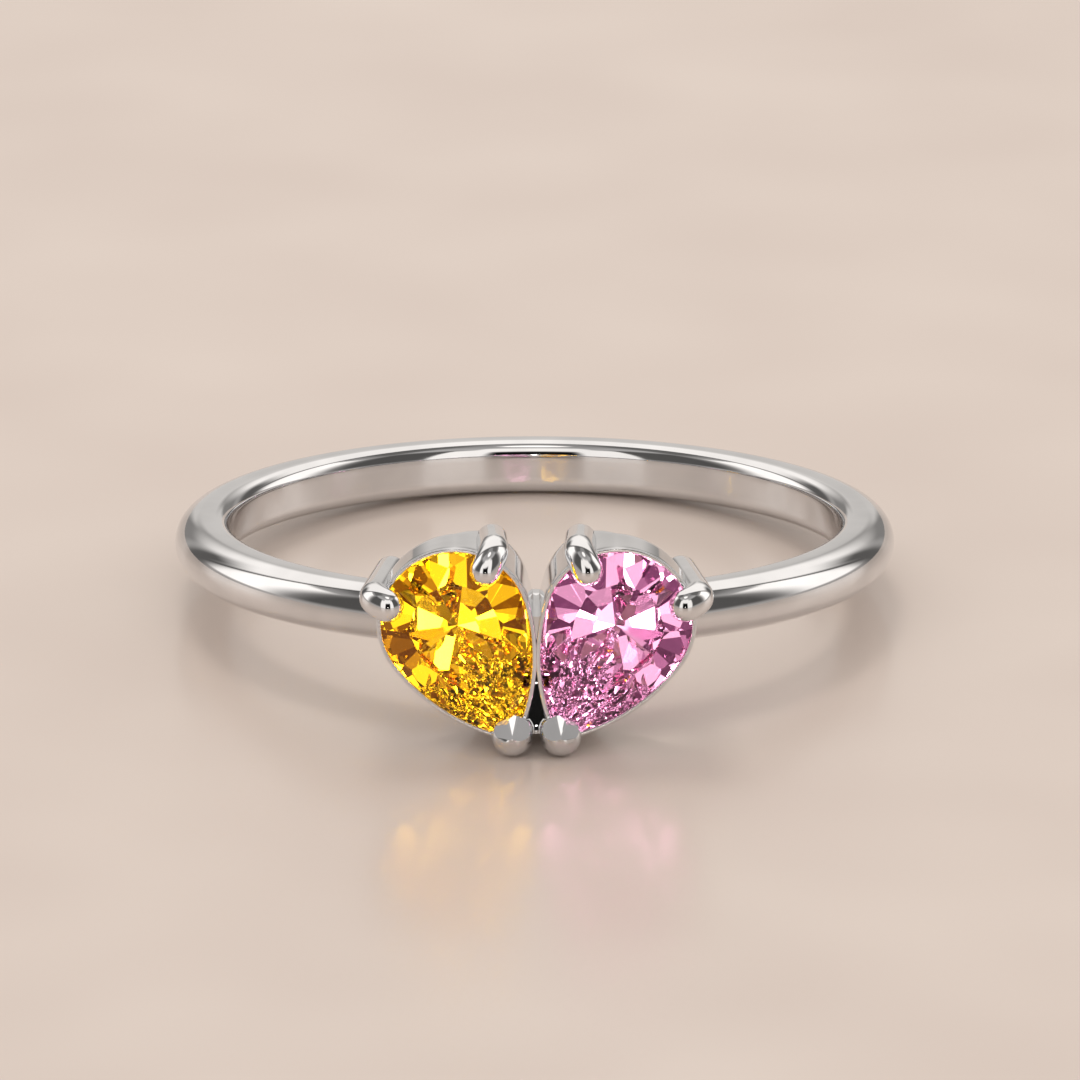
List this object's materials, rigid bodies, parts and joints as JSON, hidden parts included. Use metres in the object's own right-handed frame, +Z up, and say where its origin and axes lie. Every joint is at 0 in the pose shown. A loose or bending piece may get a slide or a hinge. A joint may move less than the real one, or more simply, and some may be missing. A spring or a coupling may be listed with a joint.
{
  "type": "two-stone finger ring",
  "caption": "Finger ring whose round band carries pear cut yellow and pink stones side by side in open claw cups, like an open heart.",
  "frame": {"origin": "centre of the ring's outline seen from above, on the surface that the ring lies on", "axes": "+Z up from that surface, -Y out of the stones' tops, +X to the pink stone's side; the finger hole leans about 6 degrees from +Z towards +Y, because the head holds the front of the band up"},
  "size_m": [0.0204, 0.0234, 0.0059],
  "materials": {
    "white_metal": "mirror polished",
    "yellow_gem": "cut and polished facets",
    "pink_gem": "cut and polished facets"
  },
  "bodies": {
    "root": {"ring_mount": "white_metal", "yellow_stone": "yellow_gem", "pink_stone": "pink_gem"}
  },
  "joints": []
}
